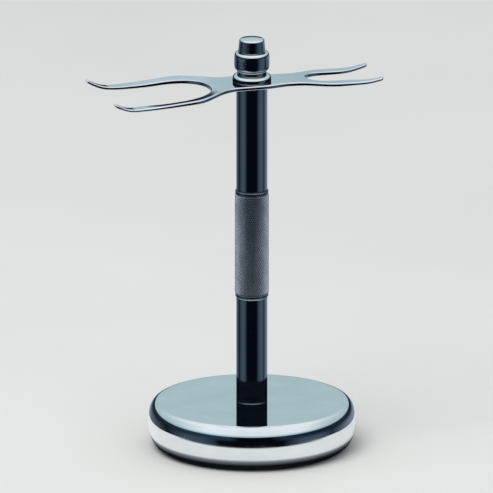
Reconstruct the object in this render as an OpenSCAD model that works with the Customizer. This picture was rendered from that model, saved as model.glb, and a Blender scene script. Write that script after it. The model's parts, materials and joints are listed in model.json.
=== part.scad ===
// Shaving stand: weighted round base, three-piece column, two-ended fork plate and a hand nut on top.
// Origin at the centre of the base's underside, +Z up, brush fork towards -X, razor fork towards +X.

/* [Base] */
// Widest diameter of the base cover
base_d = 74; // [70:1:84]
// Height of the base's flat top above the surface it stands on
base_h = 16.8; // [15:0.1:20]
// Wall thickness of the base cover
base_wall = 1.5; // [1:0.1:2]
// Height of the non-slip pad below the cover's rim
pad_show = 1.4; // [1:0.1:2]

/* [Column] */
// Diameter of the smooth column pieces
column_d = 11.1; // [10.6:0.1:12.6]
// Diameter over the knurled grip
grip_d = 12.1; // [11.4:0.1:13.6]
// Length of the smooth piece below the grip
lower_len = 38.8; // [34:0.1:45]
// Length of the knurled grip
grip_len = 39.4; // [36:0.1:45]
// Length of the smooth piece above the grip
upper_len = 38.7; // [34:0.1:45]

/* [Fork plate] */
// Thickness of the plate at the hub
plate_t = 1.5; // [1.4:0.1:2.2]
// Thickness of the plate at its tips
tip_t = 1.1; // [0.9:0.1:1.4]
// Width of the plate at the hub
hub_w = 16.5; // [14:0.5:18]
// Amount the tips are thinned compared with the prongs
tip_slim = 1.9; // [1.2:0.1:2.2]

/* [Brush fork] */
// Gap between the prongs that hold the brush
brush_gap = 27.6; // [24:0.2:32]
// Width of each brush prong
brush_prong = 4.2; // [3.4:0.1:5]
// Reach of the brush fork's tips from the column's axis
brush_reach = 56.5; // [50:0.5:60]
// Distance from the column's axis to the bottom of the brush gap
brush_crotch = 16; // [15:0.1:18]
// Drop of the brush prongs below the hub
brush_drop = 2.3; // [1:0.1:3]
// Rise of the brush tips above the lowest part of the prongs
brush_rise = 2.9; // [2:0.1:3.5]

/* [Razor fork] */
// Gap between the prongs that hold the razor
razor_gap = 12.4; // [11:0.2:14]
// Width of each razor prong
razor_prong = 4.2; // [3.4:0.1:5]
// Reach of the razor fork's tips from the column's axis
razor_reach = 46; // [42:0.5:50]
// Distance from the column's axis to the bottom of the razor gap
razor_crotch = 20.3; // [18:0.1:22]
// Width of the neck between the hub and the razor fork
neck_w = 13.4; // [12:0.2:16]
// Drop of the razor prongs below the hub
razor_drop = 0.8; // [0.4:0.1:2]
// Rise of the razor tips above the lowest part of the prongs
razor_rise = 1.2; // [0.8:0.1:3]

/* [Finial] */
// Diameter of the clamp washer under the finial
washer_d = 13.8; // [13:0.1:16]
// Thickness of the clamp washer
washer_t = 2.4; // [2:0.1:3]
// Diameter of the finial's ball
ball_d = 12.6; // [12:0.1:13.6]
// Diameter of the finial's cap at its lower edge
cap_d = 9.8; // [9.6:0.1:10.6]
// Height of the finial above the clamp washer
finial_h = 13.5; // [12.8:0.1:14.4]

/* [Hidden] */
$fn = 96;
running = 0.05;
slack = 0.3;
lap = 1;
soft = 0.2;

// Base
base_r = base_d / 2;
shoulder_h = 6;
shoulder_in = 3.1;
belly_z = base_h - shoulder_h;
belly_drop = 0.6;
tuck = 2.4;
tuck_power = 3.5;
pad_inset = 1;
arc_steps = 14;

// Base screw, spring washer and the recess that holds them
screw_r = 3;
screw_head_r = 5;
screw_head_h = 4.6;
screw_key_af = 5;
screw_key_depth = 3;
screw_washer_r = 5.4;
screw_washer_t = 1.3;
recess_r = 7.5;
recess_top_z = 9.6;
screw_grip = 17;
screw_hole_spare = 2;

// Column heights
lower_top_z = base_h + lower_len;
grip_top_z = lower_top_z + grip_len;
plate_z = grip_top_z + upper_len;
hub_top_z = plate_z + plate_t;
column_r = column_d / 2;
grip_r = grip_d / 2;
stud_r = 3;
stud_half = 9;
stud_hole = 10;
edge_chamfer = 0.4;
rim_len = 1.2;
rim_step = 0.12;

// Pivot of the plate on the column, and the stud that takes the finial
spigot_r = 4;
spigot_h = plate_t - soft;
top_stud_r = 2.5;
top_stud_sunk = 12;
top_stud_gap = 0.5;
top_stud_up = 7.6;

// Fork plate
crotch_power = 2.25;
brush_straight = 31;
razor_straight = 28;
hub_end = 7;
brush_half = brush_gap / 2 + brush_prong;
razor_half = razor_gap / 2 + razor_prong;
brush_widen_from = 8;
brush_widen_len = 18;
neck_from = 2;
neck_len = 10;
razor_widen_from = 15;
razor_widen_len = 14;
thin_from = 20;
thin_stop = 2;
flare_start = 12;
flare_out = 0.6;
hook_len = 8.5;
edge_steps = 30;
tip_steps = 6;
crotch_steps = 12;
profile_steps = 8;
hook_steps = 9;
blank_half = 12;

// Clamp washer and finial
washer_round = 1.3;
washer_in = 1.35;
collar_r = 3.9;
collar_gap = 0.2;
foot_r = 5.25;
foot_h = 1.5;
neck_r = 4.75;
ball_low_z = 1.8;
ball_half_h = 3.2;
ball_edge_r = 4.8;
ball_power = 4;
groove_r = 4.6;
groove_h = 0.15;
cap_taper = 0.4;
cap_round = 0.8;
dome_rise = 0.4;
finial_bore_up = 8;

// Smooth step from 0 to 1
function ease(u) = let (c = min(1, max(0, u))) c * c * (3 - 2 * c);

// Outline of the base, from its rim up to the middle of its flat top, moved inwards by inset
function base_outline(inset, low_z) =
    let (wide = base_r - inset, side = belly_z - inset * belly_drop, top = base_h - inset)
    concat(
        [[0, low_z]],
        [for (i = [0:arc_steps])
            let (z = low_z + (side - low_z) * i / arc_steps)
            [wide - tuck * pow((side - z) / (side - pad_show), tuck_power), z]],
        [for (i = [1:arc_steps])
            let (a = 90 * i / arc_steps)
            [wide - shoulder_in * (1 - cos(a)), side + (top - side) * sin(a)]],
        [[0, top]]);

// Half width of the plate at x, hub included
function plate_half(x) = x < 0
    ? hub_w / 2 + (brush_half - hub_w / 2) * ease((-x - brush_widen_from) / brush_widen_len)
        + flare_out * ease((-x - brush_reach + flare_start) / flare_start)
    : hub_w / 2 + (neck_w - hub_w) / 2 * ease((x - neck_from) / neck_len)
        + (razor_half - neck_w / 2) * ease((x - razor_widen_from) / razor_widen_len)
        + flare_out * ease((x - razor_reach + flare_start) / flare_start);

// One prong's tip and inner edge, from the outer edge round to the bottom of the gap.
// d is the distance from the column's axis and t the distance from the plate's centre line.
function prong(reach, gap, width, crotch, straight) =
    let (tip_r = (width - tip_slim) / 2,
         tip_side = gap / 2 + width + flare_out - tip_r,
         tip_d = reach - tip_r,
         flare = flare_out + tip_slim)
    concat(
        [for (i = [0:tip_steps])
            let (a = 90 - 180 * i / tip_steps)
            [tip_d + tip_r * cos(a), tip_side + tip_r * sin(a)]],
        [for (i = [1:tip_steps])
            let (d = tip_d + (straight - tip_d) * i / tip_steps)
            [d, gap / 2 + flare * ease((d - reach + flare_start) / flare_start)]],
        [for (i = [1:crotch_steps])
            let (a = 90 - 90 * i / crotch_steps)
            [straight - (straight - crotch) * pow(cos(a), 2 / crotch_power),
             gap / 2 * pow(sin(a), 2 / crotch_power)]]);

// Half of the plate's outline on the +Y side, from the brush gap's bottom to the razor gap's bottom
function half_outline() =
    let (brush = prong(brush_reach, brush_gap, brush_prong, brush_crotch, brush_straight),
         razor = prong(razor_reach, razor_gap, razor_prong, razor_crotch, razor_straight),
         from = -brush_reach + brush_prong,
         to = razor_reach - razor_prong)
    concat(
        [for (i = [len(brush) - 1:-1:0]) [-brush[i][0], brush[i][1]]],
        [for (i = [0:edge_steps])
            let (x = from + (to - from) * i / edge_steps)
            [x, plate_half(x)]],
        razor);

function whole_outline() =
    let (half = half_outline())
    concat(half, [for (i = [len(half) - 2:-1:1]) [half[i][0], -half[i][1]]]);

// Height of the plate's upper face above the hub, at distance d along a fork
function plate_rise(d, reach, drop, rise) =
    let (h = max(0, (d - reach + hook_len) / hook_len))
    rise * h * h - drop * ease((d - hub_end) / (reach - hook_len - hub_end));

// Plate thickness at distance d along a fork
function plate_depth(d, reach) =
    plate_t - (plate_t - tip_t) * ease((d - thin_from) / (reach - thin_from - thin_stop));

// Upper face of one fork as [distance, height, thickness], from the hub to its tip
function fork_side(reach, drop, rise) =
    concat(
        [for (i = [0:profile_steps])
            let (d = hub_end + (reach - hook_len - hub_end) * i / profile_steps)
            [d, plate_rise(d, reach, drop, rise), plate_depth(d, reach)]],
        [for (i = [1:hook_steps])
            let (d = reach - hook_len + (hook_len + 1) * i / hook_steps)
            [d, plate_rise(d, reach, drop, rise), plate_depth(d, reach)]]);

function side_outline() =
    let (brush = fork_side(brush_reach, brush_drop, brush_rise),
         razor = fork_side(razor_reach, razor_drop, razor_rise))
    concat(
        [for (i = [len(brush) - 1:-1:0]) [-brush[i][0], brush[i][1]]],
        [for (p = razor) [p[0], p[1]]],
        [for (i = [len(razor) - 1:-1:0]) [razor[i][0], razor[i][1] - razor[i][2]]],
        [for (p = brush) [-p[0], p[1] - p[2]]]);

// Round rod with chamfered ends, standing on z
module rod(r, z, h, chamfer = edge_chamfer) {
    translate([0, 0, z])
        rotate_extrude()
            polygon([[0, 0], [r - chamfer, 0], [r, chamfer], [r, h - chamfer], [r - chamfer, h], [0, h]]);
}

// Blind or through hole round the axis
module hole(r, z, h) {
    translate([0, 0, z]) cylinder(r = r, h = h);
}

module base_pad() {
    color("dimgray")
        rod(base_r - tuck - base_wall - slack, 0, pad_show + pad_inset);
}

module base_weight() {
    low = pad_show + pad_inset;
    color("slategray")
        difference() {
            intersection() {
                rotate_extrude() polygon(base_outline(base_wall + slack, pad_show));
                translate([0, 0, low]) cylinder(r = base_r, h = base_h - base_wall - low);
            }
            hole(recess_r, low - lap, recess_top_z - low + lap);
            hole(screw_r + slack, low, base_h);
        }
}

module base_shell() {
    color("lightsteelblue")
        difference() {
            rotate_extrude() polygon(base_outline(0, pad_show));
            rotate_extrude() polygon(base_outline(base_wall, pad_show));
            hole(screw_r + slack, pad_show, base_h);
        }
}

module base_screw() {
    head_z = recess_top_z - screw_washer_t - screw_head_h;
    color("gray")
        difference() {
            union() {
                rod(screw_head_r, head_z, screw_head_h);
                rod(screw_r, head_z + screw_head_h - lap, base_h + screw_grip - head_z - screw_head_h + lap);
            }
            translate([0, 0, head_z - lap])
                cylinder(r = screw_key_af / sqrt(3), h = screw_key_depth + lap, $fn = 6);
        }
}

module base_washer() {
    color("darkgray")
        translate([0, 0, recess_top_z - screw_washer_t])
            difference() {
                cylinder(r = screw_washer_r, h = screw_washer_t);
                hole(screw_r + running, -lap, screw_washer_t + lap * 2);
            }
}

module lower_column() {
    color("lightsteelblue")
        difference() {
            rod(column_r, base_h, lower_len);
            hole(screw_r + running, base_h - lap, screw_grip + screw_hole_spare + lap);
            hole(stud_r + running, lower_top_z - stud_hole, stud_hole + lap);
        }
}

module lower_stud() {
    color("gray") rod(stud_r, lower_top_z - stud_half, stud_half * 2);
}

module grip_section() {
    color("silver")
        difference() {
            union() {
                rod(grip_r - rim_step, lower_top_z, grip_len);
                translate([0, 0, lower_top_z + rim_len]) cylinder(r = grip_r, h = grip_len - rim_len * 2);
            }
            hole(stud_r + running, lower_top_z - lap, stud_hole + lap);
            hole(stud_r + running, grip_top_z - stud_hole, stud_hole + lap);
        }
}

module upper_stud() {
    color("gray") rod(stud_r, grip_top_z - stud_half, stud_half * 2);
}

module upper_column() {
    color("lightsteelblue")
        difference() {
            union() {
                rod(column_r, grip_top_z, upper_len);
                rod(spigot_r, plate_z - lap, spigot_h + lap, edge_chamfer / 2);
            }
            hole(stud_r + running, grip_top_z - lap, stud_hole + lap);
            hole(top_stud_r + running, plate_z - top_stud_sunk, top_stud_sunk + spigot_h + lap);
        }
}

module finial_stud() {
    low = plate_z - top_stud_sunk + top_stud_gap;
    color("gray") rod(top_stud_r, low, hub_top_z + top_stud_up - low);
}

module fork_plate() {
    color("lightsteelblue")
        difference() {
            intersection() {
                translate([0, 0, plate_z - blank_half]) linear_extrude(height = blank_half * 2)
                    polygon(whole_outline());
                translate([0, blank_half * 2, hub_top_z])
                    rotate([90, 0, 0]) linear_extrude(height = blank_half * 4) polygon(side_outline());
            }
            hole(spigot_r + running, plate_z - lap, plate_t + lap * 2);
        }
}

// Turned profile of the clamp washer, with its outer top edge rolled over
function washer_outline() =
    let (r = washer_d / 2, round_z = washer_t - washer_round)
    concat(
        [[0, 0], [r - soft, 0], [r, soft]],
        [for (a = [0:15:90]) [r - washer_in * (1 - cos(a)), round_z + washer_round * sin(a)]],
        [[0, washer_t]]);

module clamp_washer() {
    color("lightsteelblue")
        difference() {
            translate([0, 0, hub_top_z]) rotate_extrude() polygon(washer_outline());
            hole(collar_r + running, hub_top_z - lap, washer_t + lap * 2);
        }
}

// Side of the ball as a squarish bulge, from its lower edge to its upper edge
function ball_outline() =
    let (out = ball_d / 2 - ball_edge_r, middle = ball_low_z + ball_half_h)
    [for (a = [-90:15:90])
        [ball_edge_r + out * pow(cos(a), 2 / ball_power),
         middle + ball_half_h * sign(a) * pow(abs(sin(a)), 2 / ball_power)]];

// Turned profile of the finial, heights counted from the top of the clamp washer
function finial_outline() =
    let (groove_z = ball_low_z + ball_half_h * 2,
         cap_low_z = groove_z + groove_h,
         cap_r = cap_d / 2,
         cap_top_r = cap_r - cap_taper,
         dome_r = cap_top_r - cap_round,
         dome_z = finial_h - dome_rise)
    concat(
        [[0, collar_gap - washer_t], [collar_r, collar_gap - washer_t], [collar_r, 0],
         [foot_r - soft, 0], [foot_r, soft], [foot_r, foot_h - soft * 2],
         [foot_r - soft / 2, foot_h - soft / 2], [foot_r - soft * 2, foot_h], [neck_r, foot_h + soft / 2]],
        ball_outline(),
        [[groove_r, groove_z + soft / 4], [groove_r, cap_low_z],
         [cap_r - soft, cap_low_z], [cap_r, cap_low_z + soft]],
        [for (a = [0:15:90])
            [cap_top_r - cap_round * (1 - cos(a)), dome_z - cap_round * (1 - sin(a))]],
        [for (u = [0.75:-0.25:0]) [dome_r * u, finial_h - dome_rise * u * u]]);

module finial() {
    color("lightsteelblue")
        difference() {
            translate([0, 0, hub_top_z + washer_t]) rotate_extrude() polygon(finial_outline());
            hole(top_stud_r + running, hub_top_z - lap, finial_bore_up + lap);
        }
}

base_pad();
base_weight();
base_shell();
base_screw();
base_washer();
lower_column();
lower_stud();
grip_section();
upper_stud();
upper_column();
finial_stud();
fork_plate();
clamp_washer();
finial();
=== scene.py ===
"""Shaving stand: mirror-polished turned pieces, a knurled grip and a bent two-ended fork plate.

Everything is in metres in the frame's own axes: +Z up the column, brush fork towards -X.
"""

import json
import math

import bpy
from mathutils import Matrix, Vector
from mathutils.geometry import delaunay_2d_cdt


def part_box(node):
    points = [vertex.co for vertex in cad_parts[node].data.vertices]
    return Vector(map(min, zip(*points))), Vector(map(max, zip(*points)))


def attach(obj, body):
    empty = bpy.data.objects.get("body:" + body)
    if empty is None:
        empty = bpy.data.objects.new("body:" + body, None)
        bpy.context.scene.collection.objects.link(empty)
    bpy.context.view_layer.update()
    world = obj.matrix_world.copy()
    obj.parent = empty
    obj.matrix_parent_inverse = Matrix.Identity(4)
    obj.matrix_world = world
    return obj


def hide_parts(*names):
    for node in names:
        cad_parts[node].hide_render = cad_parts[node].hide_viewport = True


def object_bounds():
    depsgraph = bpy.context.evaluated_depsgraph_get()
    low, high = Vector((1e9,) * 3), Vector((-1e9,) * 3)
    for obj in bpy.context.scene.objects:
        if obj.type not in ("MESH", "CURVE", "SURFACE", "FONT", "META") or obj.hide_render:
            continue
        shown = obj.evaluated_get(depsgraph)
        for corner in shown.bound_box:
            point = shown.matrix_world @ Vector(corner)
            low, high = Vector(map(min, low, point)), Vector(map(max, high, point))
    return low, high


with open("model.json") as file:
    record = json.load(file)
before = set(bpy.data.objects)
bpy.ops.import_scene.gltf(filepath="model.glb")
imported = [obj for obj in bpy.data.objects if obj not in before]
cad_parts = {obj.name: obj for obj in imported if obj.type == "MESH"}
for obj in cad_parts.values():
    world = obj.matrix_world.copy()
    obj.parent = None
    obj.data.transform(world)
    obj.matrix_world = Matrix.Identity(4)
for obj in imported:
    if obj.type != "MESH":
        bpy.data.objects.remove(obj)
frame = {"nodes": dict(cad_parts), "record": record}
cad_low, cad_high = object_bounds()

MM = 0.001
ROUND = 240  # segments round the column's axis
BODY_OF = {
    node: body
    for body, nodes in frame["record"]["behaviour"]["bodies"].items()
    for node in nodes
}


# ---------------------------------------------------------------- camera

CAMERA_AZIMUTH = -17.2  # degrees; 0 looks along +Y
CAMERA_ELEVATION = 15.5
CAMERA_DISTANCE = 6.0
VIEW_HEIGHT = 176 * MM  # height of the field of view at the stand
AIM_X = -2 * MM  # the camera looks at a point this far from the axis
AIM_DOWN = 1.5 * MM  # and this far below half of the stand's height


def make_camera():
    """A long lens that sees the whole stand, nearly without perspective."""
    data = bpy.data.cameras.new("camera")
    data.sensor_width = 36
    data.lens = data.sensor_width * CAMERA_DISTANCE / VIEW_HEIGHT
    data.clip_start = 0.1
    data.clip_end = 40
    camera = bpy.data.objects.new("camera", data)
    bpy.context.scene.collection.objects.link(camera)
    azimuth = math.radians(CAMERA_AZIMUTH)
    elevation = math.radians(CAMERA_ELEVATION)
    back = Vector((
        math.sin(azimuth) * math.cos(elevation),
        -math.cos(azimuth) * math.cos(elevation),
        math.sin(elevation),
    ))
    centre = Vector((AIM_X, 0, (cad_low.z + cad_high.z) / 2 - AIM_DOWN))
    camera.location = centre + back * CAMERA_DISTANCE
    camera.rotation_mode = "QUATERNION"
    camera.rotation_quaternion = (-back).to_track_quat("-Z", "Y")
    bpy.context.scene.camera = camera


# ---------------------------------------------------------------- shader nodes


def add(tree, kind, sockets=None, **settings):
    """Adds a shader node. sockets gives its inputs values, or other nodes' outputs to link."""
    node = tree.nodes.new("ShaderNode" + kind)
    for name, value in settings.items():
        setattr(node, name, value)
    for name, value in (sockets or {}).items():
        if isinstance(value, bpy.types.NodeSocket):
            tree.links.new(value, node.inputs[name])
        else:
            node.inputs[name].default_value = value
    return node


def math_node(tree, operation, first, second=0.0):
    """One arithmetic step on one or two values."""
    return add(tree, "Math", {0: first, 1: second}, operation=operation).outputs[0]


def remap(tree, value, low, high, to_low, to_high):
    """value from low..high to to_low..to_high, clamped."""
    sockets = {"Value": value, "From Min": low, "From Max": high, "To Min": to_low, "To Max": to_high}
    return add(tree, "MapRange", sockets).outputs["Result"]


def mix(tree, factor, first, second, blend="MIX"):
    """The first colour at factor 0, and the second blended over it at 1."""
    sockets = {"Factor": factor, 6: first, 7: second}  # 6 and 7 are its two colours, and 2 is its result
    return add(tree, "Mix", sockets, data_type="RGBA", blend_type=blend).outputs[2]


def ramp(tree, factor, stops):
    """A colour ramp from a list of (position, (r, g, b))."""
    node = add(tree, "ValToRGB", {"Fac": factor})
    elements = node.color_ramp.elements
    while len(elements) < len(stops):
        elements.new(1)
    for element, (position, colour) in zip(elements, stops):
        element.position = position
        element.color = (*colour, 1)
    return node.outputs["Color"]


def noise(tree, vector, scale, detail, roughness=0.55):
    """Smooth noise about 0.5, with about scale features to each metre."""
    sockets = {"Vector": vector, "Scale": scale, "Detail": detail, "Roughness": roughness}
    return add(tree, "TexNoise", sockets).outputs["Fac"]


def stretched(tree, vector, scale):
    """The vector with each axis times its own scale, for marks that run one way."""
    return add(tree, "Mapping", {"Vector": vector, "Scale": scale}).outputs["Vector"]


def new_material(name, metallic):
    """A material with a Principled shader; returns it with its tree, shader and object coordinates."""
    material = bpy.data.materials.new(name)
    material.use_nodes = True
    tree = material.node_tree
    tree.nodes.clear()
    shader = add(tree, "BsdfPrincipled", {"Metallic": metallic})
    add(tree, "OutputMaterial", {"Surface": shader.outputs["BSDF"]})
    place = add(tree, "TexCoord").outputs["Object"]
    return material, tree, shader, place


def bump(tree, shader, height, distance):
    """Makes the surface look uneven: height, from 0 to 1, stands for that much of distance."""
    node = add(tree, "Bump", {"Height": height, "Distance": distance})
    tree.links.new(node.outputs["Normal"], shader.inputs["Normal"])


def axis_distance(tree, place):
    """Distance from the column's axis."""
    flat = add(tree, "VectorMath", {0: place, 1: (1, 1, 0)}, operation="MULTIPLY").outputs["Vector"]
    return add(tree, "VectorMath", {0: flat}, operation="LENGTH").outputs["Value"]


# ---------------------------------------------------------------- materials


def turned_chrome():
    """Mirror chrome over turned brass: faint polishing rings, wiped haze and a few water marks."""
    material, tree, shader, place = new_material("turned_chrome", 1)
    haze = noise(tree, place, scale=70, detail=6)
    wiped = noise(tree, stretched(tree, place, (40, 40, 300)), scale=3, detail=3)
    spots = noise(tree, place, scale=900, detail=2)
    tint = ramp(tree, haze, [(0.3, (0.70, 0.75, 0.80)), (0.7, (0.80, 0.84, 0.87))])
    tree.links.new(tint, shader.inputs["Base Color"])
    cloudy = math_node(tree, "MULTIPLY", haze, wiped)
    marks = remap(tree, spots, 0.66, 0.78, 0.0, 0.08)
    rough = math_node(tree, "ADD", remap(tree, cloudy, 0.12, 0.42, 0.03, 0.085), marks)
    tree.links.new(rough, shader.inputs["Roughness"])
    across = axis_distance(tree, place)
    height = add(tree, "SeparateXYZ", {0: place}).outputs["Z"]
    rings = add(tree, "CombineXYZ", {"X": across, "Y": height}).outputs["Vector"]
    bump(tree, shader, noise(tree, rings, scale=9000, detail=2), 0.0012 * MM)
    return material


def plate_chrome():
    """Chrome on polished sheet steel, with fine lines left along the plate by the polishing belt."""
    material, tree, shader, place = new_material("plate_chrome", 1)
    haze = noise(tree, place, scale=90, detail=6)
    lines = noise(tree, stretched(tree, place, (120, 4200, 4200)), scale=1, detail=4)
    tint = ramp(tree, haze, [(0.3, (0.66, 0.70, 0.78)), (0.7, (0.80, 0.83, 0.89))])
    tree.links.new(tint, shader.inputs["Base Color"])
    drawn = math_node(tree, "MULTIPLY", haze, lines)
    tree.links.new(remap(tree, drawn, 0.12, 0.42, 0.04, 0.12), shader.inputs["Roughness"])
    bump(tree, shader, lines, 0.002 * MM)
    return material


def knurled_chrome(valley, crest):
    """Chrome over a diamond knurl: bright, smoother rubbed crests and rougher valleys, with painted shade
    darkening the colour into the valleys.
    """
    material, tree, shader, place = new_material("knurled_chrome", 1)
    level = remap(tree, axis_distance(tree, place), valley, crest, 0, 1)
    patchy = noise(tree, place, scale=260, detail=4)
    shade_and_wear = math_node(tree, "ADD", level, remap(tree, patchy, 0.3, 0.7, -0.18, 0.18))
    # Painted shade: the colour darkens from the crests down into the valleys, with random patchy tone on
    # top.
    stops = [(0.0, (0.09, 0.105, 0.13)), (0.35, (0.28, 0.32, 0.38)), (0.9, (0.52, 0.58, 0.65))]
    tree.links.new(ramp(tree, shade_and_wear, stops), shader.inputs["Base Color"])
    tree.links.new(remap(tree, shade_and_wear, 0, 1, 0.36, 0.10), shader.inputs["Roughness"])
    bump(tree, shader, noise(tree, place, scale=5000, detail=3), 0.006 * MM)
    return material


def rubber():
    """Matt black rubber with a fine grain and paler dust."""
    material, tree, shader, place = new_material("rubber", 0)
    grain = noise(tree, place, scale=2600, detail=5, roughness=0.7)
    dust = noise(tree, place, scale=160, detail=5)
    stops = [(0.35, (0.012, 0.012, 0.014)), (0.75, (0.045, 0.045, 0.048))]
    dusty = math_node(tree, "MULTIPLY", dust, math_node(tree, "ADD", grain, 0.5))
    tree.links.new(ramp(tree, dusty, stops), shader.inputs["Base Color"])
    tree.links.new(remap(tree, grain, 0.3, 0.7, 0.62, 0.85), shader.inputs["Roughness"])
    bump(tree, shader, grain, 0.08 * MM)
    return material


def cast_iron():
    """Dark sand-cast iron with a coarse skin and rust blooms."""
    material, tree, shader, place = new_material("cast_iron", 1)
    skin = noise(tree, place, scale=1400, detail=6, roughness=0.65)
    bloom = noise(tree, place, scale=140, detail=5)
    stops = [(0.35, (0.15, 0.15, 0.16)), (0.6, (0.22, 0.21, 0.20)), (0.78, (0.24, 0.14, 0.09))]
    tree.links.new(ramp(tree, bloom, stops), shader.inputs["Base Color"])
    tree.links.new(remap(tree, skin, 0.3, 0.7, 0.55, 0.85), shader.inputs["Roughness"])
    bump(tree, shader, skin, 0.25 * MM)
    return material


def zinc_steel():
    """Zinc-plated steel with tool marks round it and a faint yellow passivation."""
    material, tree, shader, place = new_material("zinc_steel", 1)
    marks = noise(tree, stretched(tree, place, (60, 60, 5200)), scale=1, detail=3)
    cloud = noise(tree, place, scale=320, detail=5)
    stops = [(0.3, (0.50, 0.51, 0.52)), (0.55, (0.60, 0.60, 0.58)), (0.8, (0.62, 0.59, 0.50))]
    tree.links.new(ramp(tree, cloud, stops), shader.inputs["Base Color"])
    tree.links.new(remap(tree, marks, 0.3, 0.7, 0.22, 0.40), shader.inputs["Roughness"])
    bump(tree, shader, marks, 0.01 * MM)
    return material


# ---------------------------------------------------------------- turned shapes


class Shell:
    """Points and faces of one piece, with a shading normal at each face's corners."""

    def __init__(self):
        self.points = []
        self.faces = []
        self.normals = []
        self.rings = {}

    def ring(self, radius, height, count):
        """Points on a circle round the axis, or one on the axis. The same place gives the same ones."""
        key = (round(radius, 7), round(height, 7), count)
        if key not in self.rings:
            if key[0] == 0:
                self.rings[key] = [self.point(0, 0, height)] * count
            else:
                turns = [math.tau * i / count for i in range(count)]
                self.rings[key] = [
                    self.point(radius * math.cos(t), radius * math.sin(t), height) for t in turns
                ]
        return self.rings[key]

    def point(self, x, y, z):
        self.points.append((x, y, z))
        return len(self.points) - 1

    def face(self, corners, normals=None):
        """Adds a face; repeated corners, as at a pole, are left out. Without normals it is flat."""
        kept = [i for i in range(len(corners)) if corners[i] != corners[i - 1]]
        self.faces.append([corners[i] for i in kept])
        if normals is None:
            a, b, c = (Vector(self.points[corners[i]]) for i in kept[:3])
            normals = [(b - a).cross(c - a).normalized()] * len(corners)
        self.normals.extend(normals[i] for i in kept)

    def turn(self, pieces, count=ROUND):
        """Turns a profile round the axis. Each piece is a list of (radius, height, normal r, normal z)."""
        for piece in pieces:
            for start, end in zip(piece, piece[1:]):
                low = self.ring(start[0], start[1], count)
                high = self.ring(end[0], end[1], count)
                for i in range(count):
                    j = (i + 1) % count
                    corners = [low[i], low[j], high[j], high[i]]
                    spots = [(start, i), (start, i + 1), (end, i + 1), (end, i)]
                    self.face(corners, [self.normal(p, math.tau * k / count) for p, k in spots])

    @staticmethod
    def normal(place, angle):
        """A profile point's normal, turned round the axis."""
        out, up = place[2:]
        return (out * math.cos(angle), out * math.sin(angle), up)

    def build(self, name, material):
        """Makes the Blender object."""
        mesh = bpy.data.meshes.new(name)
        mesh.from_pydata(self.points, [], self.faces)
        mesh.polygons.foreach_set("use_smooth", [True] * len(self.faces))
        mesh.normals_split_custom_set([tuple(n) for n in self.normals])
        mesh.materials.append(material)
        piece = bpy.data.objects.new(name, mesh)
        bpy.context.scene.collection.objects.link(piece)
        return piece


def stretch(start, end):
    """A straight stretch of profile. The metal is on its left, as when it goes up the outside."""
    along = (Vector(end) - Vector(start)).normalized()
    return [(*start, along.y, -along.x), (*end, along.y, -along.x)]


def curve(shape, steps):
    """A curved stretch of profile, from shape(0) to shape(1), with its true normals."""
    small = 1e-4
    made = []
    for i in range(steps + 1):
        t = i / steps
        before = Vector(shape(max(0, t - small)))
        after = Vector(shape(min(1, t + small)))
        along = (after - before).normalized()
        made.append((*shape(t), along.y, -along.x))
    return made


def filleted(corners, steps=6):
    """Straight stretches between corners given as (radius, height, fillet). The two ends have no fillet."""
    pieces = []
    start = Vector(corners[0][:2])
    for number in range(1, len(corners) - 1):
        corner = Vector(corners[number][:2])
        fillet = corners[number][2]
        incoming = (corner - Vector(corners[number - 1][:2])).normalized()
        outgoing = (Vector(corners[number + 1][:2]) - corner).normalized()
        cross = incoming.x * outgoing.y - incoming.y * outgoing.x
        bend = math.atan2(cross, incoming.dot(outgoing))
        reach = fillet * math.tan(abs(bend) / 2)
        first = corner - incoming * reach
        side = 1 if bend > 0 else -1
        normal = Vector((incoming.y, -incoming.x))
        centre = first - normal * fillet * side
        arc = []
        for i in range(steps + 1):
            angle = bend * i / steps
            turned = Vector((
                normal.x * math.cos(angle) - normal.y * math.sin(angle),
                normal.x * math.sin(angle) + normal.y * math.cos(angle),
            ))
            place = centre + turned * fillet * side
            arc.append((place.x, place.y, turned.x, turned.y))
        pieces.append(stretch(start, first))
        pieces.append(arc)
        start = centre + turned * fillet * side
    pieces.append(stretch(start, Vector(corners[-1][:2])))
    return pieces


def size_of(node):
    """Radius, lowest and highest point of a round CAD node on the axis."""
    low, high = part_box(node)
    return (high.x - low.x) / 2, low.z, high.z


def fit(piece, node):
    """The piece stands for a CAD node, which it hides, and moves with its body."""
    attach(piece, BODY_OF[node])
    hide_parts(node)


# ---------------------------------------------------------------- turned pieces

# Sizes that the frame's boxes don't give, as the design has them
RUNNING = 0.05 * MM  # clearance round a stud
STUD_HOLE = 10 * MM  # depths of the holes for the studs and the screw
TOP_STUD_HOLE = 12 * MM
SCREW_HOLE = 20 * MM
SPIGOT_R = 4 * MM  # the spigot on which the plate turns
WASHER_HOLE = 3.95 * MM
EDGE = 0.4 * MM  # rounding of an edge that shows
TOP_EDGE = 0.32 * MM  # and of the one under the plate
SOFT = 0.2 * MM  # rounding of an edge that doesn't
FINE = 0.1 * MM

WALL = 1.5 * MM  # thickness of the base's cover
BELLY_BELOW_TOP = 6 * MM  # where the cover is widest
BELLY_DROP = 0.6  # how much lower that is inside, as a share of the wall
SHOULDER_IN = 3.1 * MM  # from there in to the flat top
TUCK = 2.4 * MM  # from there in to the foot
TUCK_POWER = 3.5
LIP = 0.35 * MM  # height of the rolled rim at the foot
LIP_ROUND = 0.9  # its rounding and its lean, as shares of that
LIP_LEAN = 0.3
SHANK = 0.6  # a socket screw's shank, as a share of its head
SCREW_PLAY = 0.3 * MM


def drilled(radius, end_z, deep):
    """Corners of a blind hole up into a lower end, or with a negative depth down into an upper end."""
    corners = [(0, end_z + deep, 0), (radius, end_z + deep, SOFT), (radius, end_z, SOFT)]
    return corners if deep > 0 else corners[::-1]


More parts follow.
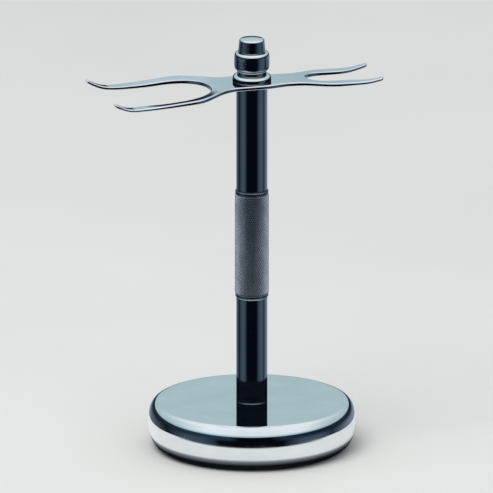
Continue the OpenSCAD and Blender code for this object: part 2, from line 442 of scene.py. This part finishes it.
def base_shell(material):
    """Domed base cover: flat top, rolled shoulder, tucked-in side and a hollow underneath."""
    radius, rim_z, top_z = size_of("base_shell")
    belly_z = top_z - BELLY_BELOW_TOP
    hole = size_of("base_screw")[0] * SHANK + SCREW_PLAY

    def side(inset, t):
        z = rim_z + (belly_z - inset * BELLY_DROP - rim_z) * t
        return radius - inset - TUCK * (1 - t) ** TUCK_POWER, z

    def shoulder(inset, t):
        a = t * math.pi / 2
        low = belly_z - inset * BELLY_DROP
        return (radius - inset - SHOULDER_IN * (1 - math.cos(a)),
                low + (top_z - inset - low) * math.sin(a))

    outer_foot = side(0, 0)[0]
    inner_foot = side(WALL, 0)[0]
    rim = filleted([(inner_foot, rim_z + LIP, 0),
                    (inner_foot, rim_z, LIP * LIP_ROUND),
                    (outer_foot, rim_z, LIP * LIP_ROUND),
                    (outer_foot + LIP * LIP_LEAN, rim_z + LIP, 0)])
    start = LIP / (belly_z - rim_z)
    outside = curve(lambda t: side(0, start + (1 - start) * t), 28)
    joined = stretch(rim[-1][-1][:2], outside[0][:2])
    over = curve(lambda t: shoulder(0, t), 28)
    flat_r = radius - SHOULDER_IN
    top = [stretch((flat_r, top_z), (hole, top_z)),
           stretch((hole, top_z), (hole, top_z - WALL)),
           stretch((hole, top_z - WALL), (flat_r - WALL, top_z - WALL))]
    under = curve(lambda t: shoulder(WALL, 1 - t), 12)
    within = curve(lambda t: side(WALL, 1 - t), 12)
    closing = stretch(within[-1][:2], rim[0][0][:2])
    shell = Shell()
    shell.turn(rim + [joined, outside, over] + top + [under, within, closing])
    return shell.build("base_cover", material)


def base_pad(material):
    """Rubber disc with soft edges and shallow rings moulded into its underside."""
    radius, low_z, top_z = size_of("base_pad")
    pitch = 3.2 * MM
    deep = 0.25 * MM
    slope = 0.3 * MM
    width = 1.2 * MM
    groove = [(0, 0), (slope, deep), (width - slope, deep), (width, 0)]
    corners = [(0, low_z, 0)]
    for number in range(2, 9):
        corners += [(pitch * number + across, low_z + up, FINE) for across, up in groove]
    corners += [(radius, low_z, EDGE), (radius, top_z, 0.3 * MM), (0, top_z, 0)]
    shell = Shell()
    shell.turn(filleted(corners, 4))
    return shell.build("rubber_pad", material)


def lower_column(material):
    """Smooth rod with a hole for the base screw below and one for a stud above."""
    radius, low_z, top_z = size_of("lower_column")
    hole = size_of("lower_stud")[0] + RUNNING
    outside = [(radius, low_z, SOFT), (radius, top_z, EDGE)]
    shell = Shell()
    shell.turn(filleted(drilled(hole, low_z, SCREW_HOLE) + outside + drilled(hole, top_z, -STUD_HOLE)))
    return shell.build("column_lower", material)


def upper_column(material):
    """Smooth rod with a shoulder under the plate and a spigot through it."""
    radius, low_z, spigot_z = size_of("upper_column")
    shoulder_z = size_of("clamp_washer")[1] - PLATE_T
    hole = size_of("upper_stud")[0] + RUNNING
    top_hole = size_of("finial_stud")[0] + RUNNING
    outside = [(radius, low_z, EDGE),
               (radius, shoulder_z, TOP_EDGE),
               (SPIGOT_R, shoulder_z, FINE),
               (SPIGOT_R, spigot_z, SOFT)]
    top = drilled(top_hole, spigot_z, shoulder_z - TOP_STUD_HOLE - spigot_z)
    shell = Shell()
    shell.turn(filleted(drilled(hole, low_z, STUD_HOLE) + outside + top))
    return shell.build("column_upper", material)


def clamp_washer(material):
    """Thick washer with its outer top edge rolled over."""
    radius, low_z, top_z = size_of("clamp_washer")
    middle_z = (low_z + top_z) / 2
    rolled_h = 1.3 * MM
    rolled_in = 1.35 * MM
    hole_edge = 0.15 * MM

    def rolled(t):
        a = t * math.pi / 2
        return radius - rolled_in * (1 - math.cos(a)), top_z - rolled_h * (1 - math.sin(a))

    lower = filleted([
        (WASHER_HOLE, middle_z, 0),
        (WASHER_HOLE, low_z, hole_edge),
        (radius, low_z, SOFT),
        (radius, top_z - rolled_h, 0),
    ])
    upper = filleted([
        (radius - rolled_in, top_z, 0),
        (WASHER_HOLE, top_z, hole_edge),
        (WASHER_HOLE, middle_z, 0),
    ])
    shell = Shell()
    shell.turn(lower + [curve(rolled, 16)] + upper)
    return shell.build("washer", material)


def finial(material):
    """Hand nut: foot ring, squarish ball and a tapered cap with a shallow dome."""
    ball_r, collar_z, top_z = size_of("finial")
    foot_z = size_of("clamp_washer")[2]
    bore = size_of("finial_stud")[0] + RUNNING
    bore_top = size_of("clamp_washer")[1] + 8 * MM
    collar_r = 3.9 * MM
    foot_r = 5.25 * MM
    foot_top = foot_z + 1.5 * MM
    neck_r = 4.75 * MM
    edge_r = 4.8 * MM  # the ball's radius where it is cut off, below and above
    half = 3.2 * MM  # half of the ball's height
    ball_z = foot_z + 1.8 * MM + half
    squareness = 4  # 2 is a plain ball
    groove_r = 4.6 * MM
    groove_low = ball_z + half + 0.05 * MM
    groove_edge = 0.03 * MM
    cap_z = ball_z + half + 0.15 * MM
    cap_r = 4.9 * MM
    cap_top_r = 4.5 * MM
    cap_round = 0.8 * MM
    dome = 0.4 * MM  # height of the dome on the cap

    def ball(t):
        a = math.pi * (t - 0.5)
        size = (abs(math.cos(a)) ** squareness + abs(math.sin(a)) ** squareness) ** (-1 / squareness)
        return edge_r + (ball_r - edge_r) * size * math.cos(a), ball_z + half * size * math.sin(a)

    def dome_top(t):
        out = 1 - t
        return (cap_top_r - cap_round) * out, top_z - dome * out * out

    def cap_edge(t):
        a = t * math.pi / 2
        return cap_top_r - cap_round * (1 - math.cos(a)), top_z - dome - cap_round * (1 - math.sin(a))

    stem = filleted(drilled(bore, collar_z, bore_top - collar_z) + [
        (collar_r, collar_z, SOFT),
        (collar_r, foot_z, 0.05 * MM),
        (foot_r, foot_z, SOFT),
        (foot_r, foot_top, 0.5 * MM),
        (neck_r, foot_top + FINE, FINE),
        (edge_r, ball_z - half, 0),
    ])
    cap = filleted([
        (edge_r, ball_z + half, 0),
        (groove_r, groove_low, groove_edge),
        (groove_r, cap_z, groove_edge),
        (cap_r, cap_z, SOFT),
        (*cap_edge(0), 0),
    ])
    shell = Shell()
    shell.turn(stem + [curve(ball, 40)] + cap + [curve(cap_edge, 12), curve(dome_top, 16)])
    return shell.build("finial_nut", material)


# ---------------------------------------------------------------- threaded studs

M5_PITCH = 0.8 * MM
M6_PITCH = 1.0 * MM
THREAD_ROUND = 40  # points round a thread
THREAD_ROWS = 10  # rows of points in one pitch
THREAD_DEEP = 0.6  # depth of the thread as a share of its pitch
CHAMFER = 1.05  # depth of an end's chamfer as a share of the thread's depth


def threaded_stud(node, name, pitch, material):
    """Stud with a rounded right-hand thread from end to end, and a chamfer at each end."""
    crest, low_z, top_z = size_of(node)
    deep = THREAD_DEEP * pitch
    rows = round((top_z - low_z) / pitch * THREAD_ROWS)
    small = 0.001 * MM
    small_turn = 0.001

    def radius(angle, z):
        turns = z / pitch - angle / math.tau
        thread = crest - deep * (1 - math.cos(math.tau * turns)) / 2
        return min(thread, crest - CHAMFER * deep + min(z - low_z, top_z - z))

    def place(angle, z):
        r = radius(angle, z)
        return Vector((r * math.cos(angle), r * math.sin(angle), z))

    def slant(angle, z):
        """The surface's normal."""
        z = min(max(z, low_z + small), top_z - small)
        around = place(angle + small_turn, z) - place(angle - small_turn, z)
        along = place(angle, z + small) - place(angle, z - small)
        return around.cross(along).normalized()

    angles = [math.tau * i / THREAD_ROUND for i in range(THREAD_ROUND)]
    shell = Shell()
    rings = []
    for row in range(rows + 1):
        z = low_z + (top_z - low_z) * row / rows
        rings.append([(shell.point(*place(a, z)), slant(a, z)) for a in angles])
    for low, high in zip(rings, rings[1:]):
        for i in range(THREAD_ROUND):
            j = (i + 1) % THREAD_ROUND
            corners = [low[i], low[j], high[j], high[i]]
            shell.face([c[0] for c in corners], [c[1] for c in corners])
    shell.face([corner[0] for corner in reversed(rings[0])])
    shell.face([corner[0] for corner in rings[-1]])
    return shell.build(name, material)


# ---------------------------------------------------------------- knurled grip

KNURL_ROUND = 46  # diamonds round the grip
KNURL_ROWS = 26  # diamonds along it
KNURL_DEEP = 0.24 * MM
KNURL_LEVELS = [(0.62, 0.8), (0.46, 1.0)]  # shares of a diamond's width, and of the knurl's depth
AROUND = [(1, 0), (0, 1), (-1, 0), (0, -1)]  # a diamond's corners, anticlockwise
RIM = 1.2 * MM  # length of the plain rim at each end
RIM_STEP = 0.12 * MM  # how far it lies below the crests
RIM_SLOPE = KNURL_DEEP - RIM_STEP  # its slope down to the valleys
RIM_POINTS = 5  # points of a rim's ring to each diamond


def knurl(shell, crest, low_z, high_z, low_rim, high_rim):
    """Diamond pyramids between two heights, with cut-off tips, standing on crossing helical valleys.

    The first and last row of corners are taken from the two rims' rings of points.
    """
    valley = crest - KNURL_DEEP
    columns = KNURL_ROUND * 2
    rows = KNURL_ROWS * 2
    step_z = (high_z - low_z) / rows
    corners = {}
    for i in range(KNURL_ROUND):
        corners[2 * i, 0] = low_rim[i * RIM_POINTS]
        corners[2 * i, rows] = high_rim[i * RIM_POINTS]

    def point(column, row, radius):
        angle = math.tau * column / columns
        return shell.point(radius * math.cos(angle), radius * math.sin(angle), low_z + step_z * row)

    def corner(column, row):
        key = (column % columns, row)
        if key not in corners:
            corners[key] = point(*key, valley)
        return corners[key]

    def diamond(column, row):
        ring = [corner(column + u, row + v) for u, v in AROUND]
        for share, rise in KNURL_LEVELS:
            radius = valley + KNURL_DEEP * rise
            inner = [point(column + u * share, row + v * share, radius) for u, v in AROUND]
            for i in range(4):
                j = (i + 1) % 4
                shell.face([ring[i], ring[j], inner[j], inner[i]])
            ring = inner
        shell.face(ring)

    for row in range(rows + 1):
        for column in range(1 - row % 2, columns, 2):
            before, after = column - 1, column + 1
            if row == 0:
                shell.face([corner(before, 0), corner(after, 0), corner(column, 1)])
            elif row == rows:
                shell.face([corner(after, rows), corner(before, rows), corner(column, rows - 1)])
            else:
                diamond(column, row)


def step_faces(shell, rim, up):
    """The flat slivers between a rim's round edge and the straight edges of the knurl's end."""
    for i in range(KNURL_ROUND):
        face = [rim[(i * RIM_POINTS + k) % len(rim)] for k in range(RIM_POINTS + 1)]
        shell.face(face if up else face[::-1])


def grip_section(material):
    """Rod with a plain rim and a stud's hole at each end, and the knurl between."""
    radius, low_z, top_z = size_of("grip_section")
    rim_r = radius - RIM_STEP
    valley = radius - KNURL_DEEP
    hole = size_of("upper_stud")[0] + RUNNING
    count = KNURL_ROUND * RIM_POINTS
    knurl_low = low_z + RIM
    knurl_high = top_z - RIM
    shell = Shell()
    shell.turn(filleted(drilled(hole, low_z, STUD_HOLE) + [
        (rim_r, low_z, EDGE),
        (rim_r, knurl_low - RIM_SLOPE, FINE),
        (valley, knurl_low, 0),
    ]), count)
    shell.turn(filleted([
        (valley, knurl_high, 0),
        (rim_r, knurl_high + RIM_SLOPE, FINE),
        (rim_r, top_z, EDGE),
    ] + drilled(hole, top_z, -STUD_HOLE)), count)
    low_rim = shell.ring(valley, knurl_low, count)
    high_rim = shell.ring(valley, knurl_high, count)
    knurl(shell, radius, knurl_low, knurl_high, low_rim, high_rim)
    step_faces(shell, low_rim, True)
    step_faces(shell, high_rim, False)
    return shell.build("grip_knurled", material)


# ---------------------------------------------------------------- fork plate

PLATE_T = 1.5 * MM  # thickness at the hub
TIP_T = 1.1 * MM  # thickness at the tips
THIN_START = 20 * MM  # where the plate begins to thin, from the axis
THIN_END = 2 * MM  # where it ends, before the tip
HUB_W = 16.5 * MM
HUB_END = 7 * MM  # the plate is level this far from the axis
NECK_W = 13.4 * MM  # width at the root of the razor fork
NECK_START = 2 * MM  # where the hub begins to narrow to it
NECK_LONG = 10 * MM
BRUSH_SPREAD_START = 8 * MM  # where the outer edges spread to the prongs
BRUSH_SPREAD_LONG = 18 * MM
RAZOR_SPREAD_START = 15 * MM
RAZOR_SPREAD_LONG = 14 * MM
PRONG = 4.2 * MM  # width of a prong
TIP_SLIM = 1.9 * MM  # how much of that is gone at the tip
FLARE = 0.6 * MM  # how far a tip leans out
FLARE_LONG = 12 * MM  # over this length
HOOK = 8.5 * MM  # length of an upturned tip
CROTCH_POWER = 2.25  # squareness of a gap's closed end; 2 is an ellipse
DISH_W = 7 * MM  # width of the dip beside a gap
DISH_SHIFT = 0.35  # share of the dip that the outer side rises instead
DISH_START = 9 * MM  # where the dip begins from the axis, and ends before the tip
DISH_FADE_IN = 8 * MM
DISH_FADE_OUT = 14 * MM
OUTER_ROUND = 0.52 * MM  # rounding of the outer edges
INNER_ROUND = 0.38 * MM  # rounding of the gaps' edges
BORE_ROUND = 0.15 * MM
MOST_ROUND = 0.48  # most of the plate's thickness that one rounding takes
BORE = 4.05 * MM
BORE_POINTS = 96
TIP_POINTS = 12
TAPER_POINTS = 30
CROTCH_POINTS = 32
OUTER_POINTS = 150
EDGE_STEPS = 5  # rows of faces in one rounding
GRID = 0.75 * MM  # spacing of the points that fill the faces
GRID_CLEAR = 0.45  # how near an edge they come, as a share of that


def ease(place, start, length):
    """0 up to start, 1 after start + length, and smooth between."""
    share = min(1, max(0, (place - start) / length))
    return share * share * (3 - 2 * share)


class Fork:
    """One end of the plate. d is the distance from the axis along it, s the distance from its centre line.

    The gap's bottom lies at the distance crotch, and its round end is over at the distance straight. The
    prongs lie lower than the hub by drop, and their tips turn up by rise. lip is the dip beside the gap.
    """

    def __init__(self, reach, gap, crotch, straight, drop, rise, lip):
        self.reach = reach
        self.gap = gap
        self.crotch = crotch
        self.straight = straight
        self.drop = drop
        self.rise = rise
        self.lip = lip
        self.half = gap / 2 + PRONG
        self.edge = self.gap_edge()

    def gap_edge(self):
        """The prong's tip and inner edge, from the outer edge round to the bottom of the gap."""
        tip_r = (PRONG - TIP_SLIM) / 2
        tip_s = self.half + FLARE - tip_r
        tip_d = self.reach - tip_r
        edge = []
        for i in range(TIP_POINTS + 1):
            a = math.pi / 2 - math.pi * i / TIP_POINTS
            edge.append((tip_d + tip_r * math.cos(a), tip_s + tip_r * math.sin(a)))
        for i in range(1, TAPER_POINTS + 1):
            d = tip_d + (self.straight - tip_d) * i / TAPER_POINTS
            edge.append((d, self.gap / 2 + (FLARE + TIP_SLIM) * self.flared(d)))
        for i in range(1, CROTCH_POINTS + 1):
            a = math.pi / 2 * (1 - i / CROTCH_POINTS)
            along = max(0, math.cos(a)) ** (2 / CROTCH_POWER)
            aside = max(0, math.sin(a)) ** (2 / CROTCH_POWER)
            edge.append((self.straight - (self.straight - self.crotch) * along, self.gap / 2 * aside))
        return edge

    def flared(self, d):
        """How far the flare has come, from 0 to 1 at the tip."""
        return ease(d, self.reach - FLARE_LONG, FLARE_LONG)

    def height(self, d):
        """Height of the upper face above the hub."""
        hook = max(0, (d - self.reach + HOOK) / HOOK)
        return self.rise * hook * hook - self.drop * ease(d, HUB_END, self.reach - HOOK - HUB_END)

    def depth(self, d):
        """Thickness of the plate."""
        return PLATE_T - (PLATE_T - TIP_T) * ease(d, THIN_START, self.reach - THIN_END - THIN_START)

    def dished(self, d, s):
        """How far the prong dips beside the gap, where a handle rests. Its outer side rises a little."""
        if not self.lip:
            return 0.0
        inner = self.edge[TIP_POINTS + 1:]
        nearest = min(math.hypot(d - e[0], abs(s) - e[1]) for e in inner)
        fading = ease(d, DISH_START, DISH_FADE_IN) * ease(self.reach - d, DISH_START, DISH_FADE_OUT)
        return self.lip * (max(0, 1 - nearest / DISH_W) ** 2 - DISH_SHIFT) * fading


class Plate:
    """The whole bent sheet, seen from above as x and y."""

    def __init__(self):
        low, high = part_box("fork_plate")
        self.brush = Fork(reach=-low.x, gap=27.6 * MM, crotch=16 * MM, straight=31 * MM,
                          drop=2.3 * MM, rise=2.9 * MM, lip=0.55 * MM)
        self.razor = Fork(reach=high.x, gap=12.4 * MM, crotch=20.3 * MM, straight=28 * MM,
                          drop=0.8 * MM, rise=1.2 * MM, lip=0)
        self.hub_z = size_of("clamp_washer")[1]

    def fork(self, x):
        return self.brush if x < 0 else self.razor

    def upper(self, x, y):
        """Height of the upper face."""
        fork = self.fork(x)
        return self.hub_z + fork.height(abs(x)) - fork.dished(abs(x), y)

    def lower(self, x, y):
        """Height of the lower face."""
        return self.upper(x, y) - self.fork(x).depth(abs(x))

    def half_width(self, x):
        half = HUB_W / 2 + FLARE * self.fork(x).flared(abs(x))
        if x < 0:
            return half + (self.brush.half - HUB_W / 2) * ease(-x, BRUSH_SPREAD_START, BRUSH_SPREAD_LONG)
        half += (NECK_W - HUB_W) / 2 * ease(x, NECK_START, NECK_LONG)
        return half + (self.razor.half - NECK_W / 2) * ease(x, RAZOR_SPREAD_START, RAZOR_SPREAD_LONG)

    def outline(self):
        """The plate's edge, anticlockwise, and the radius of its rounding at each point."""
        first = -self.brush.reach + PRONG
        last = self.razor.reach - PRONG

        def rounded(fork, side):
            for i, (d, s) in enumerate(fork.edge):
                share = min(1, i / TIP_POINTS)
                yield side * d, s, OUTER_ROUND + (INNER_ROUND - OUTER_ROUND) * share

        upper = list(rounded(self.brush, -1))[::-1]
        for i in range(OUTER_POINTS + 1):
            x = first + (last - first) * i / OUTER_POINTS
            upper.append((x, self.half_width(x), OUTER_ROUND))
        upper += rounded(self.razor, 1)
        clockwise = upper + [(x, -y, radius) for x, y, radius in reversed(upper[1:-1])]
        return [(x, y) for x, y, r in clockwise[::-1]], [r for x, y, r in clockwise[::-1]]


def tilt(surface, x, y):
    """The upward normal of a face whose height is surface(x, y)."""
    small = 0.02 * MM
    slope_x = (surface(x + small, y) - surface(x - small, y)) / (2 * small)
    slope_y = (surface(x, y + small) - surface(x, y - small)) / (2 * small)
    return Vector((-slope_x, -slope_y, 1)).normalized()


def edge_normals(loop):
    """Outward normals of a closed loop that has the metal on its left."""
    normals = []
    for i in range(len(loop)):
        before = Vector(loop[i - 1])
        here = Vector(loop[i])
        after = Vector(loop[(i + 1) % len(loop)])
        along = (here - before).normalized() + (after - here).normalized()
        along.normalize()
        normals.append(Vector((along.y, -along.x)))
    return normals


def inside(point, loop):
    x, y = point
    crossings = 0
    for i in range(len(loop)):
        (x0, y0), (x1, y1) = loop[i - 1], loop[i]
        if (y0 > y) != (y1 > y) and x < x0 + (x1 - x0) * (y - y0) / (y1 - y0):
            crossings += 1
    return crossings % 2 == 1


def on_plate(point, loops):
    """Inside the outline, the first loop, and outside the bore, the second."""
    return inside(point, loops[0]) and not inside(point, loops[1])


def clear_of(point, loop, distance):
    return all(math.hypot(point[0] - x, point[1] - y) > distance for x, y in loop)


def grid_points(loops):
    """Points in rows and columns over the plate, clear of its edges."""
    x = min(place[0] for place in loops[0])
    last = max(place[0] for place in loops[0])
    half_rows = int(max(place[1] for place in loops[0]) / GRID)
    points = []
    while x < last:
        for row in range(-half_rows, half_rows + 1):
            point = (x, row * GRID)
            if on_plate(point, loops) and all(clear_of(point, loop, GRID * GRID_CLEAR) for loop in loops):
                points.append(point)
        x += GRID
    return points


def fill(loops):
    """Fills the plate with triangles: their points, their corners, and the loops' points among them."""
    flat = []
    borders = []
    for loop in loops:
        start = len(flat)
        flat += loop
        borders += [(start + i, start + (i + 1) % len(loop)) for i in range(len(loop))]
    flat += grid_points(loops)
    filled = delaunay_2d_cdt([Vector(point) for point in flat], borders, [], 0, 1e-9)
    places, triangles, sources = filled[0], filled[2], filled[3]
    kept = [t for t in triangles if on_plate(sum((places[i] for i in t), Vector((0, 0))) / 3, loops)]
    found = {source: i for i, group in enumerate(sources) for source in group}
    rims = []
    start = 0
    for loop in loops:
        rims.append([found[start + i] for i in range(len(loop))])
        start += len(loop)
    return places, kept, rims


def rounding_row(shell, plate, edge, up, share, rim):
    """One row of points along a rounding, and their normals. share is 0 on the wall and 1 on the face."""
    surface = plate.upper if up > 0 else plate.lower
    angle = math.pi / 2 * share
    points = []
    shading = []
    for on_face, (x, y), normal, radius in zip(rim, *edge):
        inset = radius * (1 - math.cos(angle))
        x -= normal.x * inset
        y -= normal.y * inset
        depth = min(radius, MOST_ROUND * (plate.upper(x, y) - plate.lower(x, y)))
        z = surface(x, y) - up * depth * (1 - math.sin(angle))
        face_normal = tilt(surface, x, y) * up
        wall = Vector((normal.x, normal.y, 0))
        wall = (wall - face_normal * wall.dot(face_normal)).normalized()
        leaning = wall * math.cos(angle) / radius + face_normal * math.sin(angle) / depth
        shading.append(leaning.normalized())
        points.append(on_face if share == 1 else shell.point(x, y, z))
    return points, shading


def plate_edge(shell, plate, edge, rims):
    """The side of the plate along one loop: a rounding from the upper face, a wall and a rounding below."""
    rows = []
    for up in (1, -1):
        for step in range(EDGE_STEPS + 1):
            share = (EDGE_STEPS - step if up > 0 else step) / EDGE_STEPS
            rows.append(rounding_row(shell, plate, edge, up, share, rims[up]))
    for (top, top_shade), (low, low_shade) in zip(rows, rows[1:]):
        for i in range(len(top)):
            j = (i + 1) % len(top)
            shell.face([top[i], low[i], low[j], top[j]],
                       [top_shade[i], low_shade[i], low_shade[j], top_shade[j]])


def fork_plate(material):
    """Bent sheet with rounded edges: two matching faces filled by triangles, and rounded walls between."""
    plate = Plate()
    outline, outline_radii = plate.outline()
    turns = [-math.tau * i / BORE_POINTS for i in range(BORE_POINTS)]
    bore = [(BORE * math.cos(turn), BORE * math.sin(turn)) for turn in turns]
    edges = [(outline, edge_normals(outline), outline_radii),
             (bore, edge_normals(bore), [BORE_ROUND] * BORE_POINTS)]
    loops = [[(x - n.x * r, y - n.y * r) for (x, y), n, r in zip(*edge)] for edge in edges]
    places, triangles, rims = fill(loops)

    shell = Shell()
    sides = {}
    for surface, up in ((plate.upper, 1), (plate.lower, -1)):
        sides[up] = [shell.point(p.x, p.y, surface(p.x, p.y)) for p in places]
        tilts = [tilt(surface, p.x, p.y) * up for p in places]
        for triangle in triangles:
            order = triangle if up > 0 else triangle[::-1]
            shell.face([sides[up][i] for i in order], [tilts[i] for i in order])
    for edge, rim in zip(edges, rims):
        plate_edge(shell, plate, edge, {up: [sides[up][i] for i in rim] for up in sides})
    return shell.build("fork", material)


# ---------------------------------------------------------------- room

FLOOR_R = 8.0
NEAR_FLOOR_R = 68 * MM
NEAR_FLOOR_Z = 0.05 * MM  # just above the floor
SHADE_START = 35.8 * MM  # painted shadow: the near floor is dark inside this radius
SHADE_END = 41.5 * MM  # and pale outside this one
KEY_PLACE = Vector((-0.7, -0.5, 1.6))
BACKGROUND = (0.68, 0.69, 0.67, 1)


def disc(name, radius, height, material):
    shell = Shell()
    shell.turn([[(radius, height, 0, 1), (0, height, 0, 1)]], 128)
    return shell.build(name, material)


def make_floor():
    """A pale floor, and a small disc of floor round the foot that only reflections see. The disc has a
    painted shadow next to the foot.
    """
    floor_material, tree, shader, place = new_material("floor", 0)
    stops = [(0.3, (0.62, 0.61, 0.59)), (0.7, (0.65, 0.64, 0.62))]
    tree.links.new(ramp(tree, noise(tree, place, scale=6, detail=3), stops), shader.inputs["Base Color"])
    shader.inputs["Roughness"].default_value = 0.9
    floor = disc("floor", FLOOR_R, 0.0, floor_material)
    floor.visible_glossy = False

    near_shadow_material, tree, shader, place = new_material("near_floor_painted_shadow", 0)
    out_of_shadow = remap(tree, axis_distance(tree, place), SHADE_START, SHADE_END, 0, 1)
    # Painted shadow: nearly black next to the foot, pale further out.
    stops = [(0.0, (0.002, 0.003, 0.005)), (0.6, (0.27, 0.29, 0.32)), (1.0, (0.93, 0.92, 0.89))]
    tree.links.new(ramp(tree, out_of_shadow, stops), shader.inputs["Base Color"])
    shader.inputs["Roughness"].default_value = 0.9
    near = disc("near_floor_painted_shadow", NEAR_FLOOR_R, NEAR_FLOOR_Z, near_shadow_material)
    near.visible_camera = False
    near.visible_diffuse = False
    near.visible_shadow = False


def make_key_light():
    """A large soft lamp above and to the left, which the metal doesn't mirror."""
    lamp = bpy.data.lights.new("key", "AREA")
    lamp.shape = "DISK"
    lamp.size = 1.2
    lamp.energy = 18
    light = bpy.data.objects.new("key", lamp)
    bpy.context.scene.collection.objects.link(light)
    light.location = KEY_PLACE
    light.rotation_mode = "QUATERNION"
    light.rotation_quaternion = (-KEY_PLACE).to_track_quat("-Z", "Y")
    light.visible_glossy = False


def at(elevation):
    """Where an elevation in degrees lies on a ramp by height: 0 is straight down, 1 straight up."""
    return elevation / 180 + 0.5


def directions(tree):
    """Height and bearing of the direction that a ray takes, both from 0 to 1.

    Bearing 0.5 is the side that the first camera stands on, and it stays there in every view.
    """
    ray = add(tree, "TexCoord").outputs["Generated"]
    turn = {"Vector": ray, "Angle": -math.radians(CAMERA_AZIMUTH)}
    turned = add(tree, "VectorRotate", turn, rotation_type="Z_AXIS").outputs["Vector"]
    parts = add(tree, "SeparateXYZ", {0: turned}).outputs
    height = remap(tree, math_node(tree, "ARCSINE", parts["Z"]), -math.pi / 2, math.pi / 2, 0, 1)
    backwards = math_node(tree, "MULTIPLY", parts["Y"], -1.0)
    bearing = remap(tree, math_node(tree, "ARCTAN2", parts["X"], backwards), -math.pi, math.pi, 0, 1)
    return height, bearing


def front_ceiling(tree, height, bearing):
    """What the metal sees above the horizon on the camera's side: nearly black, and pale from 12 degrees."""
    pale = ramp(tree, height, [
        (at(11.2), (0.0, 0.0, 0.0)),
        (at(13.2), (0.46, 0.60, 0.62)),
        (at(17), (0.50, 0.63, 0.65)),
        (at(21), (0.88, 0.91, 0.92)),
        (at(90), (1.0, 1.0, 1.0)),
    ])
    dark = ramp(tree, bearing, [
        (0.43, (0.020, 0.040, 0.065)),
        (0.46, (0.001, 0.002, 0.004)),
        (0.56, (0.001, 0.002, 0.004)),
        (0.60, (0.016, 0.030, 0.052)),
        (0.75, (0.004, 0.008, 0.018)),
    ])
    return mix(tree, 1.0, pale, dark, "ADD")


def back_ceiling(tree, height):
    """What the metal sees above the horizon on the far side."""
    return ramp(tree, height, [
        (at(-4), (0.004, 0.007, 0.014)),
        (at(11.2), (0.02, 0.035, 0.05)),
        (at(13.2), (0.46, 0.60, 0.62)),
        (at(18), (0.47, 0.61, 0.63)),
        (at(34), (0.60, 0.71, 0.75)),
        (at(52), (0.95, 0.97, 0.98)),
        (at(90), (1.0, 1.0, 1.0)),
    ])


def between_pieces(tree, height):
    """What a second reflection sees: dark at the sides, so that the base mirrors a dark column."""
    return ramp(tree, height, [
        (at(17), (0.003, 0.005, 0.010)),
        (at(24), (0.035, 0.050, 0.070)),
        (at(38), (0.16, 0.20, 0.24)),
        (at(58), (0.95, 0.96, 0.95)),
        (at(75), (1.25, 1.22, 1.16)),
    ])


def low_surround(tree, bearing):
    """What the metal sees below the horizon, all the way round."""
    return ramp(tree, bearing, [
        (0.0, (0.30, 0.36, 0.40)),
        (0.10, (0.10, 0.13, 0.16)),
        (0.20, (0.006, 0.012, 0.02)),
        (0.28, (0.06, 0.085, 0.12)),
        (0.345, (0.05, 0.075, 0.11)),
        (0.40, (0.002, 0.003, 0.006)),
        (0.60, (0.002, 0.003, 0.006)),
        (0.66, (0.05, 0.075, 0.11)),
        (0.72, (0.07, 0.10, 0.14)),
        (0.78, (0.02, 0.035, 0.055)),
        (0.87, (0.16, 0.22, 0.27)),
        (1.0, (0.32, 0.38, 0.42)),
    ])


def make_surround():
    """A plain pale background for the camera, and a painted surround for everything else.

    The surround's dark and bright zones give the chrome its bands.
    """
    world = bpy.data.worlds.new("room")
    bpy.context.scene.world = world
    world.use_nodes = True
    tree = world.node_tree
    tree.nodes.clear()
    height, bearing = directions(tree)
    aside = math_node(tree, "ABSOLUTE", math_node(tree, "SUBTRACT", bearing, 0.5))
    front = remap(tree, aside, 60 / 360, 110 / 360, 1, 0)
    ceiling = mix(tree, front, back_ceiling(tree, height), front_ceiling(tree, height, bearing))
    light_path = add(tree, "LightPath").outputs
    again = remap(tree, light_path["Ray Depth"], 2, 3, 0, 1)  # 2 at a first reflection, 3 at a second
    ceiling = mix(tree, again, ceiling, between_pieces(tree, height))
    above = remap(tree, height, at(-8), at(2), 0, 1)
    painted = mix(tree, above, low_surround(tree, bearing), ceiling)
    reflected = add(tree, "Background", {"Color": painted}).outputs[0]
    plain = add(tree, "Background", {"Color": BACKGROUND}).outputs[0]
    chosen = add(tree, "MixShader", {0: light_path["Is Camera Ray"], 1: reflected, 2: plain}).outputs[0]
    add(tree, "OutputWorld", {"Surface": chosen})
    bpy.context.scene.view_settings.view_transform = "Standard"


# ---------------------------------------------------------------- the stand


def main():
    make_camera()
    chrome = turned_chrome()
    grip_r = size_of("grip_section")[0]
    fit(base_shell(chrome), "base_shell")
    fit(base_pad(rubber()), "base_pad")
    fit(lower_column(chrome), "lower_column")
    fit(grip_section(knurled_chrome(grip_r - KNURL_DEEP, grip_r)), "grip_section")
    fit(upper_column(chrome), "upper_column")
    fit(fork_plate(plate_chrome()), "fork_plate")
    fit(clamp_washer(chrome), "clamp_washer")
    fit(finial(chrome), "finial")

    iron = cast_iron()
    steel = zinc_steel()
    studs = [("lower_stud", "stud_lower", M6_PITCH),
             ("upper_stud", "stud_upper", M6_PITCH),
             ("finial_stud", "stud_finial", M5_PITCH)]
    for node, name, pitch in studs:
        fit(threaded_stud(node, name, pitch, steel), node)
    inner = [("base_weight", iron, "cast_iron"),
             ("base_screw", steel, "steel"),
             ("base_washer", steel, "steel")]
    for node, material, slot in inner:
        kept = frame["nodes"][node]
        kept.data.materials.clear()
        kept.data.materials.append(material)

    make_floor()
    make_key_light()
    make_surround()


main()
